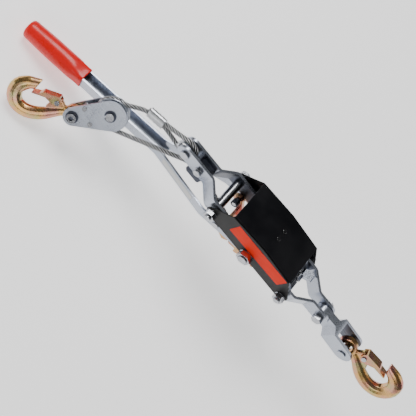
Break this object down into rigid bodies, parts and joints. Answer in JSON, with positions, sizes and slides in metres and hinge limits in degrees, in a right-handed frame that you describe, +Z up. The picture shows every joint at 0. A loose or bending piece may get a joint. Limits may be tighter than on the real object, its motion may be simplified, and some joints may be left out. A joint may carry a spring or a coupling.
{
  "type": "come along winch",
  "caption": "Hand ratchet cable puller: a bent-strip frame with a black guard, a ratchet drum, a channel handle with a red grip, a pulley block and two latched hooks.",
  "frame": {"origin": "centre of the bounding box on the ground plane, with the winch as it lies in rest pose", "axes": "+Z up through the black guard, +X toward the anchor hook, -Y toward the side whose lock nuts show"},
  "size_m": [0.624, 0.1238, 0.1523],
  "materials": {
    "zinc_plate": "satin zinc",
    "bright_zinc": "bright zinc",
    "gold_zinc": "yellow zinc",
    "black_paint": "satin",
    "red_grip": "gloss",
    "wire_rope": "bright drawn wire",
    "dark_steel": "dark satin",
    "pressed_aluminium": "satin"
  },
  "bodies": {
    "frame": {"near_side_strip": "zinc_plate", "far_side_strip": "zinc_plate", "near_cover_panel": "black_paint", "far_cover_panel": "black_paint", "top_cover": "black_paint", "near_cover_rivet": "black_paint", "far_cover_rivet": "black_paint", "front_bolt": "bright_zinc", "front_nut": "bright_zinc", "front_spacer": "bright_zinc", "rear_bolt": "bright_zinc", "rear_nut": "bright_zinc", "rear_collar": "bright_zinc", "drum_axle": "bright_zinc", "axle_nut": "bright_zinc", "head_rivet": "bright_zinc", "rope_guide": "dark_steel", "guide_bolt": "bright_zinc", "guide_nut": "bright_zinc", "rope_eye": "wire_rope", "thimble": "bright_zinc", "ferrule": "pressed_aluminium", "rope_drum_run": "wire_rope", "rope_return_run": "wire_rope", "holding_pawl_spring": "bright_zinc", "yoke_bolt": "bright_zinc", "yoke_nut": "bright_zinc"},
    "drum": {"near_ratchet": "gold_zinc", "far_ratchet": "gold_zinc", "drum_barrel": "gold_zinc", "rope_on_drum": "wire_rope"},
    "handle": {"handle_channel": "zinc_plate", "handle_grip": "red_grip", "near_pawl_rivet": "bright_zinc", "far_pawl_rivet": "bright_zinc", "drive_pawl_spring": "bright_zinc"},
    "drive_pawl": {"drive_pawl": "gold_zinc"},
    "holding_pawl": {"holding_pawl": "zinc_plate"},
    "pulley_block": {"near_cheek": "zinc_plate", "far_cheek": "zinc_plate", "sheave_pin": "bright_zinc", "near_retaining_ring": "dark_steel", "far_retaining_ring": "dark_steel", "hook_bolt": "bright_zinc", "hook_bolt_washer": "dark_steel", "hook_bolt_nut": "bright_zinc", "upper_cheek_spacer": "zinc_plate", "lower_cheek_spacer": "zinc_plate", "rope_sheave_bight": "wire_rope"},
    "sheave": {"sheave": "zinc_plate"},
    "load_hook": {"load_hook": "gold_zinc", "load_latch_rivet": "bright_zinc"},
    "load_latch": {"load_latch": "gold_zinc", "load_latch_spring": "bright_zinc"},
    "anchor_clevis": {"anchor_clevis": "zinc_plate", "clevis_pin": "zinc_plate"},
    "anchor_hook": {"anchor_hook": "gold_zinc", "anchor_latch_rivet": "bright_zinc"},
    "anchor_latch": {"anchor_latch": "gold_zinc", "anchor_latch_spring": "bright_zinc"}
  },
  "joints": [
    {"name": "drum_spin", "type": "hinge", "parent": "frame", "child": "drum", "pos_m": [0.04483, 0.02311, 0.11444], "axis": [0, -1, 0], "range_deg": [-720, 0]},
    {"name": "handle_swing", "type": "hinge", "parent": "frame", "child": "handle", "pos_m": [0.04483, 0.02311, 0.11444], "axis": [0, -1, 0], "range_deg": [0, 120]},
    {"name": "drive_pawl_swing", "type": "hinge", "parent": "handle", "child": "drive_pawl", "pos_m": [-0.00316, 0.02311, 0.1004], "axis": [0, -1, 0], "range_deg": [-12, 9.5], "stiffness_Nm_per_rad": 0.06},
    {"name": "holding_pawl_swing", "type": "hinge", "parent": "frame", "child": "holding_pawl", "pos_m": [0.10983, 0.02311, 0.11444], "axis": [0, -1, 0], "range_deg": [-2.5, 7.5], "stiffness_Nm_per_rad": 0.06},
    {"name": "pulley_slide", "type": "slide", "parent": "frame", "child": "pulley_block", "axis": [-0.9059, -0.2633, -0.3318], "range_m": [0, 0.1051], "deforming": ["rope_drum_run", "rope_return_run"]},
    {"name": "sheave_spin", "type": "hinge", "parent": "pulley_block", "child": "sheave", "pos_m": [-0.17617, -0.00189, 0.07394], "axis": [-0.0498, 0.798, -0.6006], "range_deg": [0, 336]},
    {"name": "load_hook_swing", "type": "hinge", "parent": "pulley_block", "child": "load_hook", "pos_m": [-0.20236, -0.02493, 0.0455], "axis": [0.0498, -0.798, 0.6006], "range_deg": [-50, 60]},
    {"name": "load_latch_swing", "type": "hinge", "parent": "load_hook", "child": "load_latch", "pos_m": [-0.22462, -0.02821, 0.04299], "axis": [0.0498, -0.798, 0.6006], "range_deg": [0, 18], "stiffness_Nm_per_rad": 0.02},
    {"name": "clevis_swing", "type": "hinge", "parent": "frame", "child": "anchor_clevis", "pos_m": [0.16583, 0.02311, 0.11444], "axis": [0, -1, 0], "range_deg": [-40, 40]},
    {"name": "anchor_hook_swing", "type": "hinge", "parent": "anchor_clevis", "child": "anchor_hook", "pos_m": [0.22261, 0.02311, 0.10947], "axis": [0, -1, 0], "range_deg": [-50, 60]},
    {"name": "anchor_latch_swing", "type": "hinge", "parent": "anchor_hook", "child": "anchor_latch", "pos_m": [0.24474, 0.02695, 0.12024], "axis": [0.0194, 0.9284, -0.371], "range_deg": [0, 18], "stiffness_Nm_per_rad": 0.02}
  ],
  "couplings": [
    {"joint": "pulley_slide", "follows": "drum_spin", "m_per_rad": -0.00835},
    {"joint": "sheave_spin", "follows": "drum_spin", "ratio": -0.46389}
  ]
}
